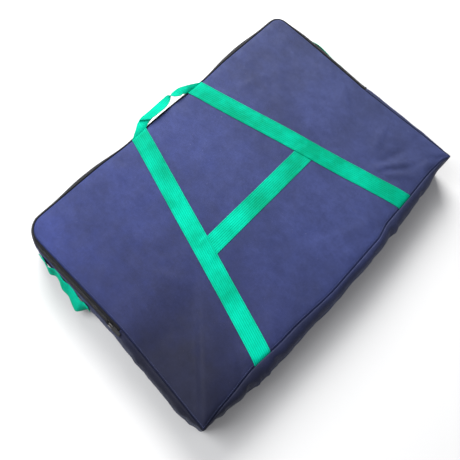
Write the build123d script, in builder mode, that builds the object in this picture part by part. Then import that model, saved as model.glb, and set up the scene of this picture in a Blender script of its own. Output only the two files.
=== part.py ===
from build123d import *
import os
from math import hypot, radians, tan

# A large flat carry bag, lying on its back with the zip closed. All sizes are in millimetres.
# Origin: the point of the floor under the middle of the bag.
# +X runs along the long edge, +Y towards the zipped edge with the handles, +Z out of the front.

# Cloth and webbing
cloth_thickness = 2.0
webbing_width = 50.0
webbing_thickness = 2.0
binding_width = 12.0
binding_thickness = 1.2
sewing_clearance = 0.3

# The bag's body
face_width = 950.0
face_height = 636.0
body_depth = 111.0
top_corner_radius = 45.0
bottom_corner_radius = 16.0

# How far the walls stand out beyond the faces, at mid depth and at the two shoulders
side_belly = 27.0
top_belly = 14.0
bottom_belly = 36.0
side_shoulder = 18.0
top_shoulder = 8.0
bottom_shoulder = 20.0
shoulder_depth = 17.0

# The zip, set in the front shoulder along the top and down the upper half of both sides
zip_end_y = -22.0
zip_tape_thickness = 1.0
zip_tape_depth = 5.6
coil_row_depth = 2.2
coil_proud = 1.2
coil_deep = 2.4
stop_length = 4.0
stop_width = 9.0
stop_thickness = 1.2
stop_inset = 1.0

# The line that the front face folds on when the zip is open
fold_y = 8.0
fold_gap = 0.4
fold_rise = 0.3

# The A of webbing on each face
leg_foot_x = 285.0
leg_top_x = 108.0
crossbar_y = -29.0

# Carry handles, where the webbing of the legs runs on past the top edge
handle_reach = 34.0
handle_corner_x = 72.0
eye_reach = 12.0
eye_corner_x = 50.0
grip_thickness = 4.0
notch_angle = 55.0

# Grab handles on the two ends
end_handle_y = 155.0
end_handle_pad = 24.0
end_handle_slope = 26.0
end_handle_middle = 84.0
end_handle_standoff = 17.0

# Zip slider and its pull
slider_y = -6.0
slider_length = 18.0
slider_width = 11.0
slider_plate = 1.5
slider_corner = 2.0
slider_clearance = 0.3
neck_length = 4.0
lug_length = 8.0
lug_width = 3.0
lug_height = 3.8
lug_hole_radius = 1.2
ring_wire = 1.5
ring_width = 8.0
ring_length = 12.0
ring_corner = 2.0
tab_length = 30.0
tab_width = 9.0
tab_thickness = 3.2
tab_neck_length = 6.0
tab_neck_width = 4.0
tab_hole_radius = 1.15
tab_hole_inset = 3.0
tab_corner = 2.0

# Heights of the layers, from the floor up
back_z = webbing_thickness
wall_low = back_z + cloth_thickness
front_z = back_z + body_depth
wall_high = front_z - cloth_thickness
webbing_top = front_z + webbing_thickness
shoulder_low = wall_low + shoulder_depth
shoulder_high = wall_high - shoulder_depth
wall_middle = (wall_low + wall_high) / 2
zip_middle = (shoulder_high + wall_high) / 2
flap_coil_high = wall_high - zip_tape_depth
flap_coil_low = flap_coil_high - coil_row_depth
body_coil_low = shoulder_high + zip_tape_depth
body_coil_high = body_coil_low + coil_row_depth

half_width = face_width / 2
half_height = face_height / 2
beyond = face_width
corner_reach = 100.0

# Each level of the walls: height, and how far it stands out at the sides, top and bottom
levels = [
    (wall_low, 0.0, 0.0, 0.0),
    (shoulder_low, side_shoulder, top_shoulder, bottom_shoulder),
    (wall_middle, side_belly, top_belly, bottom_belly),
    (shoulder_high, side_shoulder, top_shoulder, bottom_shoulder),
    (wall_high, 0.0, 0.0, 0.0),
]


def outline(height, side_out, top_out, bottom_out, inset):
    """The bag's outline at one height, drawn in by inset, with four round corners."""
    right = half_width + side_out - inset
    top = half_height + top_out - inset
    bottom = -half_height - bottom_out + inset
    with BuildSketch(Plane.XY.offset(height)) as shape:
        with BuildLine():
            Polyline((-right, bottom), (right, bottom), (right, top), (-right, top), close=True)
        make_face()
        fillet(shape.vertices().group_by(Axis.Y)[-1], top_corner_radius - inset)
        fillet(shape.vertices().group_by(Axis.Y)[0], bottom_corner_radius - inset)
    return shape.sketch


def form(inset):
    """The space within the walls, drawn in by inset, from the back seam to the front seam."""
    with BuildPart() as body:
        loft(sections=[outline(*level, inset) for level in levels], ruled=True)
    return body.part


def column(corners, low, high):
    """An upright block over a many-cornered patch of the plan."""
    with BuildPart() as block:
        with BuildSketch(Plane.XY.offset(low)):
            with BuildLine():
                Polyline(*corners, close=True)
            make_face()
        extrude(amount=high - low)
    return block.part


def stretch(low_y, high_y):
    """The plan's patch between two lines across the bag."""
    return [(-beyond, low_y), (beyond, low_y), (beyond, high_y), (-beyond, high_y)]


def end_plan(side, high_y):
    """The plan's patch of one end wall up to high_y, mitred at the bottom corner and the top one."""
    outer = half_width + corner_reach
    inner = half_width - corner_reach
    foot = -half_height - corner_reach
    inner_foot = -half_height + corner_reach
    inner_head = min(high_y, half_height - corner_reach)
    return [
        (side * outer, foot),
        (side * inner, inner_foot),
        (side * inner, inner_head),
        (side * outer, high_y),
    ]


def edge_plan(side):
    """The plan's patch of the top wall (side 1) or the bottom wall (side -1), mitred at its ends."""
    outer_x = half_width + corner_reach
    inner_x = half_width - corner_reach
    outer_y = side * (half_height + corner_reach)
    inner_y = side * (half_height - corner_reach)
    return [(-outer_x, outer_y), (-inner_x, inner_y), (inner_x, inner_y), (outer_x, outer_y)]


def wall(blocks, proud, deep):
    """The layer of the walls from proud outside to deep inside, where it lies in the blocks."""
    with BuildPart() as reach:
        add(blocks)
    with BuildPart() as layer:
        add(form(-proud))
        add(form(deep), mode=Mode.SUBTRACT)
        add(reach.part, mode=Mode.INTERSECT)
    return layer.part


# Panels

with BuildPart() as back_panel:
    add(outline(back_z, 0.0, 0.0, 0.0, 0.0))
    extrude(amount=cloth_thickness)

with BuildPart() as front_panel:
    add(outline(wall_high, 0.0, 0.0, 0.0, 0.0))
    extrude(amount=cloth_thickness)
    add(column(stretch(-beyond, fold_y - fold_gap / 2), wall_high, front_z), mode=Mode.INTERSECT)

with BuildPart() as front_flap:
    add(outline(wall_high, 0.0, 0.0, 0.0, 0.0))
    extrude(amount=cloth_thickness)
    add(column(stretch(fold_y + fold_gap / 2, beyond), wall_high, front_z), mode=Mode.INTERSECT)

# Gussets: the end walls stop at the zip above its lower ends, and reach the front below them


def end_gusset(side):
    """One end wall: full depth below the zip's end, and up to the zip's tape above it."""
    below_zip = column(end_plan(side, half_height + corner_reach), wall_low, shoulder_high)
    beside_front = column(end_plan(side, zip_end_y), shoulder_high, wall_high)
    return wall([below_zip, beside_front], 0.0, cloth_thickness)


with BuildPart() as gusset_left:
    add(end_gusset(-1))

with BuildPart() as gusset_right:
    add(end_gusset(1))

with BuildPart() as gusset_bottom:
    add(wall([column(edge_plan(-1), wall_low, wall_high)], 0.0, cloth_thickness))

with BuildPart() as gusset_top:
    add(wall([column(edge_plan(1), wall_low, shoulder_high)], 0.0, cloth_thickness))

# Zip: a tape and a coil row on the body, the same on the flap, and the fixed lower ends

zip_plan = stretch(zip_end_y, beyond)
flap_plan = stretch(fold_y + fold_gap / 2, beyond)
zip_foot_plan = stretch(zip_end_y, fold_y - fold_gap / 2)

with BuildPart() as zip_tape_body:
    add(wall([column(zip_plan, shoulder_high, body_coil_low)], 0.0, zip_tape_thickness))

with BuildPart() as zip_coil_body:
    add(wall([column(zip_plan, body_coil_low, body_coil_high)], coil_proud, coil_deep))

with BuildPart() as zip_coil_flap:
    add(wall([column(flap_plan, flap_coil_low, flap_coil_high)], coil_proud, coil_deep))

with BuildPart() as zip_tape_flap:
    add(wall([column(flap_plan, flap_coil_high, wall_high)], 0.0, zip_tape_thickness))

with BuildPart() as zip_coil_feet:
    add(wall([column(zip_foot_plan, flap_coil_low, flap_coil_high)], coil_proud, coil_deep))

with BuildPart() as zip_tape_feet:
    add(wall([column(zip_foot_plan, flap_coil_high, wall_high)], 0.0, zip_tape_thickness))

# Seam bindings, inside the walls where the gussets meet the panels

binding_outer = cloth_thickness + sewing_clearance
binding_inner = binding_outer + binding_thickness

back_binding_block = column(stretch(-beyond, beyond), wall_low, wall_low + binding_width)
front_binding_block = column(stretch(-beyond, zip_end_y), wall_high - binding_width, wall_high)

with BuildPart() as binding_back:
    add(wall([back_binding_block], -binding_outer, binding_inner))

with BuildPart() as binding_front:
    add(wall([front_binding_block], -binding_outer, binding_inner))

# Webbing on the faces

leg_slope = (leg_foot_x - leg_top_x) / face_height
leg_half = webbing_width / 2 * hypot(1.0, leg_slope)


def leg_middle(y):
    """How far the middle of a leg of the A lies from the bag's middle line."""
    return leg_top_x + (half_height - y) * leg_slope


def leg(side, low_y, high_y, height):
    """One leg of the A between two lines across the bag."""
    low_x = side * leg_middle(low_y)
    high_x = side * leg_middle(high_y)
    corners = [
        (low_x - leg_half, low_y),
        (low_x + leg_half, low_y),
        (high_x + leg_half, high_y),
        (high_x - leg_half, high_y),
    ]
    return column(corners, height, height + webbing_thickness)


def crossbar(height):
    """The bar of the A, cut to the slope of the legs at both ends."""
    low_y = crossbar_y - webbing_width / 2
    high_y = crossbar_y + webbing_width / 2
    low_x = leg_middle(low_y) - leg_half
    high_x = leg_middle(high_y) - leg_half
    corners = [(-low_x, low_y), (low_x, low_y), (high_x, high_y), (-high_x, high_y)]
    return column(corners, height, height + webbing_thickness)


def fold_notch(axis_z, far_z):
    """The wedge of room under a handle's foot that lets it fold down over the edge."""
    spread = abs(axis_z - far_z) * tan(radians(notch_angle))
    with BuildPart() as notch:
        with BuildSketch(Plane.YZ):
            with BuildLine():
                Polyline(
                    (half_height, axis_z),
                    (half_height, far_z),
                    (half_height + spread, far_z),
                    close=True,
                )
            make_face()
        extrude(amount=half_width, both=True)
    return notch.part


front_axis_z = webbing_top + fold_rise
back_axis_z = -fold_rise
leg_end_y = half_height - fold_gap / 2
handle_foot_y = half_height + fold_gap / 2
fold_low_y = fold_y - fold_gap / 2
fold_high_y = fold_y + fold_gap / 2

with BuildPart() as front_leg_left_lower:
    add(leg(-1, -half_height, fold_low_y, front_z))

with BuildPart() as front_leg_right_lower:
    add(leg(1, -half_height, fold_low_y, front_z))

with BuildPart() as front_leg_left_upper:
    add(leg(-1, fold_high_y, leg_end_y, front_z))

with BuildPart() as front_leg_right_upper:
    add(leg(1, fold_high_y, leg_end_y, front_z))

with BuildPart() as front_crossbar:
    add(crossbar(front_z))

with BuildPart() as back_leg_left:
    add(leg(-1, -half_height, leg_end_y, 0.0))

with BuildPart() as back_leg_right:
    add(leg(1, -half_height, leg_end_y, 0.0))

with BuildPart() as back_crossbar:
    add(crossbar(0.0))

# Carry handles


def handle(height, axis_z, far_z):
    """A handle: the two legs' webbing runs on past the edge and folds into a doubled grip."""
    outer_foot = leg_middle(handle_foot_y) + leg_half
    inner_foot = leg_middle(handle_foot_y) - leg_half
    grip_y = half_height + handle_reach
    eye_y = half_height + eye_reach
    grip = [
        (-handle_corner_x, grip_y),
        (handle_corner_x, grip_y),
        (eye_corner_x, eye_y),
        (-eye_corner_x, eye_y),
    ]
    loop = [
        (-outer_foot, handle_foot_y),
        (-handle_corner_x, grip_y),
        (handle_corner_x, grip_y),
        (outer_foot, handle_foot_y),
        (inner_foot, handle_foot_y),
        (eye_corner_x, eye_y),
        (-eye_corner_x, eye_y),
        (-inner_foot, handle_foot_y),
    ]
    with BuildPart() as strap:
        add(column(loop, height, height + webbing_thickness))
        add(column(grip, height, height + grip_thickness))
        add(fold_notch(axis_z, far_z), mode=Mode.SUBTRACT)
    return strap.part


with BuildPart() as front_handle:
    add(handle(front_z, front_axis_z, front_z))

with BuildPart() as back_handle:
    add(handle(0.0, back_axis_z, webbing_thickness))

# Grab handles: sewn pads with a slope up from each, and a raised middle that swings

strap_inner_x = half_width + side_belly + sewing_clearance
strap_outer_x = strap_inner_x + webbing_thickness
end_strap_low = wall_middle - webbing_width / 2
end_strap_high = wall_middle + webbing_width / 2


def end_handle_pads(side):
    """The two sewn ends of a grab handle, each with the slope that leaves the wall."""
    with BuildPart() as pads:
        for way in (-1, 1):
            rise_y = end_handle_y + way * end_handle_middle / 2
            foot_y = rise_y + way * end_handle_slope
            end_y = foot_y + way * end_handle_pad
            corners = [
                (side * strap_inner_x, end_y),
                (side * strap_inner_x, foot_y),
                (side * (strap_inner_x + end_handle_standoff), rise_y),
                (side * (strap_outer_x + end_handle_standoff), rise_y),
                (side * strap_outer_x, foot_y),
                (side * strap_outer_x, end_y),
            ]
            add(column(corners, end_strap_low, end_strap_high))
    return pads.part


def end_handle_loop(side):
    """The raised middle of a grab handle."""
    low_y = end_handle_y - end_handle_middle / 2 + fold_gap
    high_y = end_handle_y + end_handle_middle / 2 - fold_gap
    near_x = side * (strap_inner_x + end_handle_standoff)
    far_x = side * (strap_outer_x + end_handle_standoff)
    corners = [(near_x, low_y), (far_x, low_y), (far_x, high_y), (near_x, high_y)]
    return column(corners, end_strap_low, end_strap_high)


with BuildPart() as left_handle_pads:
    add(end_handle_pads(-1))

with BuildPart() as right_handle_pads:
    add(end_handle_pads(1))

with BuildPart() as left_handle:
    add(end_handle_loop(-1))

with BuildPart() as right_handle:
    add(end_handle_loop(1))

# Zip slider, on the left end's shoulder, and the stops at the zip's lower ends

shoulder_length = hypot(side_shoulder, shoulder_depth)
lean = shoulder_depth / shoulder_length
coil_top = coil_proud * lean
coil_bottom = coil_deep * lean
plate_low = coil_top + slider_clearance
plate_high = plate_low + slider_plate
hole_height = lug_height / 2
ring_height = plate_high + hole_height
zip_middle_x = half_width + side_shoulder / 2


def zip_plane(side, y):
    """A plane on an end's zip shoulder: its x runs up the zip, and its z leans outward."""
    leaning_out = (side * shoulder_depth, 0, side_shoulder)
    return Plane(origin=(side * zip_middle_x, y, zip_middle), x_dir=(0, 1, 0), z_dir=leaning_out)


with BuildPart() as zip_stops:
    for side in (-1, 1):
        with BuildSketch(zip_plane(side, zip_end_y + stop_inset + stop_length / 2).offset(coil_top)):
            Rectangle(stop_length, stop_width)
        extrude(amount=stop_thickness)

slider_plane = zip_plane(-1, slider_y)
lug_plane = Plane(
    origin=slider_plane.offset(plate_high).origin, x_dir=(0, 1, 0), z_dir=(side_shoulder, 0, shoulder_depth)
)
neck_outer_x = zip_middle_x + (plate_low + slider_plate / 2) / lean
neck_inner_x = zip_middle_x - (coil_bottom + slider_clearance + slider_plate / 2) / lean
neck_high_y = slider_y + slider_length / 2 - slider_corner
neck_low_y = neck_high_y - neck_length
neck_plan = [
    (-neck_outer_x, neck_low_y),
    (-neck_inner_x, neck_low_y),
    (-neck_inner_x, neck_high_y),
    (-neck_outer_x, neck_high_y),
]

with BuildPart() as zip_slider:
    with BuildSketch(slider_plane.offset(plate_low)):
        RectangleRounded(slider_length, slider_width, slider_corner)
    extrude(amount=slider_plate)
    with BuildSketch(slider_plane.offset(-coil_bottom - slider_clearance)):
        RectangleRounded(slider_length, slider_width, slider_corner)
    extrude(amount=-slider_plate)
    add(column(neck_plan, body_coil_high + slider_clearance, flap_coil_low - slider_clearance))
    with BuildSketch(lug_plane):
        Rectangle(lug_length, lug_height, align=(Align.CENTER, Align.MIN))
        with Locations((0, hole_height)):
            Circle(lug_hole_radius, mode=Mode.SUBTRACT)
    extrude(amount=lug_width / 2, both=True)

# The pull: a wire ring through the lug, and a tab moulded round the ring's far bar

ring_middle = (ring_length - ring_wire) / 2
tab_bar = ring_length - ring_wire
tab_start = tab_bar - tab_hole_inset
tab_plane = Plane(
    origin=slider_plane.offset(ring_height).origin, x_dir=(0, 1, 0), z_dir=(side_shoulder, 0, shoulder_depth)
)

with BuildPart() as pull_ring:
    with BuildSketch(slider_plane.offset(ring_height - ring_wire / 2)):
        with Locations((-ring_middle, 0)):
            RectangleRounded(ring_length, ring_width, ring_corner)
            RectangleRounded(
                ring_length - 2 * ring_wire,
                ring_width - 2 * ring_wire,
                ring_corner - ring_wire,
                mode=Mode.SUBTRACT,
            )
    extrude(amount=ring_wire)

with BuildPart() as pull_tab:
    with BuildSketch(slider_plane.offset(ring_height - tab_thickness / 2)):
        with Locations((-tab_start, 0)):
            Rectangle(tab_neck_length + tab_corner, tab_neck_width, align=(Align.MAX, Align.CENTER))
        with Locations((-tab_start - tab_neck_length - (tab_length - tab_neck_length) / 2, 0)):
            RectangleRounded(tab_length - tab_neck_length, tab_width, tab_corner)
    extrude(amount=tab_thickness)
    with BuildSketch(tab_plane):
        with Locations((-tab_bar, 0)):
            Circle(tab_hole_radius)
    extrude(amount=tab_width, both=True, mode=Mode.SUBTRACT)

pieces = {
    "back_panel": back_panel,
    "front_panel": front_panel,
    "front_flap": front_flap,
    "gusset_left": gusset_left,
    "gusset_right": gusset_right,
    "gusset_bottom": gusset_bottom,
    "gusset_top": gusset_top,
    "zip_tape_body": zip_tape_body,
    "zip_coil_body": zip_coil_body,
    "zip_coil_flap": zip_coil_flap,
    "zip_tape_flap": zip_tape_flap,
    "zip_coil_feet": zip_coil_feet,
    "zip_tape_feet": zip_tape_feet,
    "zip_stops": zip_stops,
    "binding_back": binding_back,
    "binding_front": binding_front,
    "front_leg_left_lower": front_leg_left_lower,
    "front_leg_right_lower": front_leg_right_lower,
    "front_leg_left_upper": front_leg_left_upper,
    "front_leg_right_upper": front_leg_right_upper,
    "front_crossbar": front_crossbar,
    "back_leg_left": back_leg_left,
    "back_leg_right": back_leg_right,
    "back_crossbar": back_crossbar,
    "front_handle": front_handle,
    "back_handle": back_handle,
    "left_handle_pads": left_handle_pads,
    "right_handle_pads": right_handle_pads,
    "left_handle": left_handle,
    "right_handle": right_handle,
    "zip_slider": zip_slider,
    "pull_ring": pull_ring,
    "pull_tab": pull_tab,
}

os.makedirs("parts", exist_ok=True)
for label, piece in pieces.items():
    piece.part.label = label
    export_step(piece.part, f"parts/{label}.step")
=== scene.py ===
import random
from bisect import bisect_right
from math import cos, exp, hypot, pi, radians, sin, sqrt

import bpy
from mathutils import Matrix, Vector, noise


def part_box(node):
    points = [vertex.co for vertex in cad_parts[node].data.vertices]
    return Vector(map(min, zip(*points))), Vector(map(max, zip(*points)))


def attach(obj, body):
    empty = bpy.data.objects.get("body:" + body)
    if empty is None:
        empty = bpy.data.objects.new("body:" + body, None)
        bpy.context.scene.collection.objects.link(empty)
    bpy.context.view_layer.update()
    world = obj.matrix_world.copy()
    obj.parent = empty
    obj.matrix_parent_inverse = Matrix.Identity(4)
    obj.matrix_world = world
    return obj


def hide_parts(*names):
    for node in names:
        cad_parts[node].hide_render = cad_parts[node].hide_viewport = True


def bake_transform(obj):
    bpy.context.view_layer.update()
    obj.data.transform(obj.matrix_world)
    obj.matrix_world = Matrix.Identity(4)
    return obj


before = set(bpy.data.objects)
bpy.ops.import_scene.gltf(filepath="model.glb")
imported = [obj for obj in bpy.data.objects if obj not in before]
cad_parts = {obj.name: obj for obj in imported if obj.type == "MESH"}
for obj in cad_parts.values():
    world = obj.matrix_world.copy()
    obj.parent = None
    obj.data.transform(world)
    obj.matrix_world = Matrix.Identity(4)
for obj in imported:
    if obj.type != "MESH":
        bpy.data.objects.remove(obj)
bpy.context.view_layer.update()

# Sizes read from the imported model, in metres

panel_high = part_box("front_panel")[1]
HALF_W = panel_high[0]
HALF_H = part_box("front_flap")[1][1]
FACE_Z = panel_high[2]
BACK_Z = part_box("back_panel")[0][2]
ZIP_END_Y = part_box("zip_tape_feet")[0][1]

leg_outer_foot = -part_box("front_leg_left_lower")[0][0]
leg_inner_top = -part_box("front_leg_left_upper")[1][0]
leg_outer_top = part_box("front_handle")[1][0]
LEG_HALF = (leg_outer_top - leg_inner_top) / 2
LEG_FOOT_X = leg_outer_foot - LEG_HALF
LEG_TOP_X = leg_inner_top + LEG_HALF
bar_low, bar_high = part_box("front_crossbar")
BAR_Y = (bar_low[1] + bar_high[1]) / 2
BAR_HALF = (bar_high[1] - bar_low[1]) / 2

slider_low, slider_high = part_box("zip_slider")

# Sizes of the soft bag

SEAM_Z = FACE_Z - 0.0025
LEFT_HALF_W = HALF_W - 0.0005
RIGHT_HALF_W = HALF_W - 0.0130
LEFT_CORNER = 0.045
RIGHT_CORNER = 0.027
FOOT_RADIUS = 0.006
SKEW = 0.0345  # How far the face climbs to the right, for each metre across
SKEW_TWIST = 0.0055
LEFT_FLARE = 0.0225
RIGHT_FLARE = 0.029
CROWN = 0.004
GROOVE = 0.0030
WEBBING = 0.0019
CLOTH = 0.0011
BACK_CLOTH = 0.0008
TAPE_CLOTH = 0.0007
BACK_CLOTH_Z = BACK_Z + BACK_CLOTH
FLOOR_CLEARANCE = 0.0002
EDGE_ROW = 0.0048  # From the seam to the row of stitching round the face
UP = Vector((0, 0, 1))
DOWN = Vector((0, 0, -1))


def metres(value):
    """Millimetres in metres: a number, or numbers in tuples."""
    if isinstance(value, tuple):
        return tuple(metres(v) for v in value)
    return value / 1000


def smooth(t):
    t = min(1.0, max(0.0, t))
    return t * t * (3 - 2 * t)


def spread(start, end, step):
    """Even values from start up to, but not including, end."""
    count = max(1, round(abs(end - start) / step))
    return [start + (end - start) * i / count for i in range(count)]


# Materials

BLACK = (0.0, 0.0, 0.0)
WHITE = (1.0, 1.0, 1.0)
WAVE_SPAN = 0.314159  # A wave texture of scale 1 repeats over this length


def grey(value):
    return (value, value, value)


def nodes_of(name):
    material = bpy.data.materials.new(name)
    material.use_nodes = True
    tree = material.node_tree
    shader = tree.nodes["Principled BSDF"]
    return material, tree, shader


def link(tree, a, b):
    tree.links.new(a, b)


def noise_value(tree, source, scale, detail=3.0, rough=0.55, stretch=None):
    node = tree.nodes.new("ShaderNodeTexNoise")
    node.inputs["Scale"].default_value = scale
    node.inputs["Detail"].default_value = detail
    node.inputs["Roughness"].default_value = rough
    if stretch:
        mapping = tree.nodes.new("ShaderNodeMapping")
        mapping.inputs["Scale"].default_value = stretch
        link(tree, source, mapping.inputs["Vector"])
        source = mapping.outputs["Vector"]
    link(tree, source, node.inputs["Vector"])
    return node.outputs["Fac"]


def ramp(tree, value, *stops):
    node = tree.nodes.new("ShaderNodeValToRGB")
    elements = node.color_ramp.elements
    while len(elements) < len(stops):
        elements.new(0.5)
    for element, (place, colour) in zip(elements, stops):
        element.position = place
        element.color = (*colour, 1.0)
    link(tree, value, node.inputs["Fac"])
    return node.outputs["Color"]


def mix(tree, amount, a, b, kind="MIX"):
    node = tree.nodes.new("ShaderNodeMix")
    node.data_type = "RGBA"
    node.blend_type = kind
    for socket, value in ((node.inputs["Factor"], amount), (node.inputs[6], a), (node.inputs[7], b)):
        if isinstance(value, bpy.types.NodeSocket):
            link(tree, value, socket)
        elif isinstance(value, tuple):
            socket.default_value = (*value, 1.0)
        else:
            socket.default_value = value
    return node.outputs[2]


def math(tree, operation, a, b):
    node = tree.nodes.new("ShaderNodeMath")
    node.operation = operation
    for socket, value in zip(node.inputs, (a, b)):
        if isinstance(value, bpy.types.NodeSocket):
            link(tree, value, socket)
        else:
            socket.default_value = value
    return node.outputs[0]


def tinted(tree, base, tint):
    return mix(tree, 1.0, base, tint, "MULTIPLY")


def times(tree, a, b):
    return math(tree, "MULTIPLY", a, b)


def object_place(tree):
    return tree.nodes.new("ShaderNodeTexCoord").outputs["Object"]


def weave_place(tree):
    """Place in the cloth's own map, in metres across and along the threads."""
    node = tree.nodes.new("ShaderNodeUVMap")
    node.uv_map = "weave"
    return node.outputs["UV"]


def part_of(tree, place, axis):
    parts = tree.nodes.new("ShaderNodeSeparateXYZ")
    link(tree, place, parts.inputs["Vector"])
    return parts.outputs[axis]


def bands(tree, source, direction, pitch, distortion=0.0):
    node = tree.nodes.new("ShaderNodeTexWave")
    node.wave_type = "BANDS"
    node.bands_direction = direction
    node.wave_profile = "SIN"
    node.inputs["Scale"].default_value = WAVE_SPAN / pitch
    node.inputs["Distortion"].default_value = distortion
    node.inputs["Detail"].default_value = 1.0
    node.inputs["Detail Scale"].default_value = 0.4
    link(tree, source, node.inputs["Vector"])
    return node.outputs["Fac"]


def weave(tree, pitch_u, pitch_v):
    """Warp and weft: two crossed waves, one thread up where the other is down."""
    source = weave_place(tree)
    return times(tree, bands(tree, source, "X", pitch_u, 0.6), bands(tree, source, "Y", pitch_v, 0.6))


def bump(tree, shader, height, strength, distance):
    node = tree.nodes.new("ShaderNodeBump")
    node.inputs["Strength"].default_value = strength
    node.inputs["Distance"].default_value = distance
    link(tree, height, node.inputs["Height"])
    link(tree, node.outputs["Normal"], shader.inputs["Normal"])


def set_all(shader, **values):
    for name, value in values.items():
        shader.inputs[name.replace("_", " ")].default_value = value


def cloth_material(name, dark, light, sheen, painted_shade_at):
    """Plain-woven polyester cloth: mottled, faintly scuffed, with lint caught on it, and painted shade that
    darkens it round a given point.
    """
    material, tree, shader = nodes_of(name)
    place = object_place(tree)
    threads = weave(tree, 0.0011, 0.0009)
    broad = noise_value(tree, place, 6.0, 3.0, 0.6)
    cloudy = noise_value(tree, place, 34.0, 5.0, 0.62)
    base = ramp(tree, broad, (0.35, dark), (0.66, light))
    base = mix(tree, times(tree, cloudy, 0.35), base, dark)
    scuff = noise_value(tree, place, 22.0, 7.0, 0.72, (1.0, 0.55, 1.0))
    scuffed = ramp(tree, scuff, (0.66, BLACK), (0.80, WHITE))
    base = mix(tree, times(tree, scuffed, 0.14), base, (0.20, 0.22, 0.32))
    speck = noise_value(tree, place, 420.0, 1.0, 0.4)
    specks = ramp(tree, speck, (0.775, BLACK), (0.80, WHITE))
    patch = ramp(tree, noise_value(tree, place, 15.0, 2.0), (0.50, BLACK), (0.62, WHITE))
    base = mix(tree, times(tree, times(tree, specks, patch), 0.5), base, (0.34, 0.35, 0.40))
    # Painted shade in the weave: the cloth is darker where the threads dip.
    base = tinted(tree, base, ramp(tree, threads, (0.0, grey(0.72)), (0.7, WHITE)))
    grain = noise_value(tree, place, 170.0, 4.0, 0.65)
    base = tinted(tree, base, ramp(tree, grain, (0.30, (0.86, 0.86, 0.87)), (0.70, (1.08, 1.08, 1.07))))
    blots = noise_value(tree, place, 58.0, 6.0, 0.72, (1.0, 0.6, 1.0))
    base = tinted(tree, base, ramp(tree, blots, (0.34, (0.84, 0.84, 0.86)), (0.64, (1.10, 1.09, 1.06))))
    # Painted shade: the cloth is darkened and its blue dulled round the given point at the lower left
    # corner, standing in for the shade that falls there.
    apart = tree.nodes.new("ShaderNodeVectorMath")
    apart.operation = "DISTANCE"
    apart.inputs[1].default_value = painted_shade_at
    link(tree, place, apart.inputs[0])
    reach = math(tree, "ADD", apart.outputs["Value"], times(tree, cloudy, 0.10))
    base = tinted(tree, base, ramp(tree, reach, (0.15, (0.38, 0.32, 0.25)), (0.52, WHITE)))
    # Painted light: the cloth is tinted bluer towards the left side, following how the light falls across
    # the face.
    side = math(tree, "ADD", part_of(tree, place, "X"), 0.5)
    base = tinted(tree, base, ramp(tree, side, (0.0, (0.96, 1.0, 1.34)), (0.9, (1.02, 0.99, 0.98))))
    link(tree, base, shader.inputs["Base Color"])
    link(tree, ramp(tree, cloudy, (0.3, grey(0.56)), (0.7, grey(0.72))), shader.inputs["Roughness"])
    set_all(shader, Sheen_Weight=sheen, Sheen_Roughness=0.42, Sheen_Tint=(0.45, 0.55, 1.0, 1.0))
    set_all(shader, Specular_IOR_Level=0.16)
    bump(tree, shader, math(tree, "ADD", threads, times(tree, cloudy, 0.8)), 0.35, 0.0006)
    return material


def webbing_material(name, dark, light, worn):
    """Ribbed nylon webbing: cross threads over the lengthwise ribs, worn pale in places."""
    material, tree, shader = nodes_of(name)
    place = object_place(tree)
    threads = weave(tree, 0.0014, 0.0019)
    broad = noise_value(tree, place, 11.0, 4.0, 0.6)
    # Lighter towards the left and darker towards the right, over the broad mottling.
    tone_lighter_left = math(tree, "SUBTRACT", broad, times(tree, part_of(tree, place, "X"), 0.25))
    base = ramp(tree, tone_lighter_left, (0.34, dark), (0.68, light))
    grime = ramp(tree, noise_value(tree, place, 48.0, 6.0, 0.7), (0.60, BLACK), (0.78, WHITE))
    base = mix(tree, times(tree, grime, 0.22), base, worn)
    # Painted shade in the weave and between the ribs: the webbing is darker where the threads and the ribs
    # dip.
    base = tinted(tree, base, ramp(tree, threads, (0.0, (0.66, 0.68, 0.67)), (0.6, WHITE)))
    ribs = bands(tree, weave_place(tree), "X", RIB_PITCH)
    base = tinted(tree, base, ramp(tree, ribs, (0.0, grey(0.66)), (0.45, WHITE)))
    link(tree, base, shader.inputs["Base Color"])
    link(tree, ramp(tree, broad, (0.3, grey(0.50)), (0.7, grey(0.62))), shader.inputs["Roughness"])
    set_all(shader, Sheen_Weight=0.0, Specular_IOR_Level=0.02)
    bump(tree, shader, threads, 0.5, 0.0005)
    return material


def tape_material(name, colour):
    """The zip's tape and the seam bindings: a fine black herringbone that shines a little."""
    material, tree, shader = nodes_of(name)
    threads = weave(tree, 0.0007, 0.0012)
    dust = noise_value(tree, object_place(tree), 60.0, 5.0, 0.7)
    dusty = ramp(tree, dust, (0.5, colour), (0.9, tuple(c * 2.2 + 0.002 for c in colour)))
    link(tree, dusty, shader.inputs["Base Color"])
    link(tree, ramp(tree, threads, (0.0, grey(0.72)), (1.0, grey(0.55))), shader.inputs["Roughness"])
    set_all(shader, Sheen_Weight=0.03, Specular_IOR_Level=0.12)
    bump(tree, shader, threads, 0.4, 0.0004)
    return material


def hard_material(name, colour, edge, metallic, rough, coat, wear):
    """Enamelled or moulded hard parts: smooth with fine scratches, rubbed through where it wears."""
    material, tree, shader = nodes_of(name)
    place = object_place(tree)
    worn = noise_value(tree, place, 260.0, 5.0, 0.7)
    mask = ramp(tree, worn, (wear, BLACK), (wear + 0.08, WHITE))
    link(tree, mix(tree, mask, colour, edge), shader.inputs["Base Color"])
    fine = noise_value(tree, place, 900.0, 2.0, 0.6, (1.0, 4.0, 1.0))
    link(tree, ramp(tree, fine, (0.3, grey(rough)), (0.7, grey(rough + 0.16))), shader.inputs["Roughness"])
    set_all(shader, Metallic=metallic, Coat_Weight=coat, Coat_Roughness=0.2)
    bump(tree, shader, fine, 0.15, 0.0001)
    return material


# The webbing's ribs: how many, and the share of its width that they cover
RIBS = 8
RIBBED = 0.87
RIB_PITCH = 2 * RIBBED * BAR_HALF / RIBS

# Centre of the painted shade at the bag's lower left corner
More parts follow.
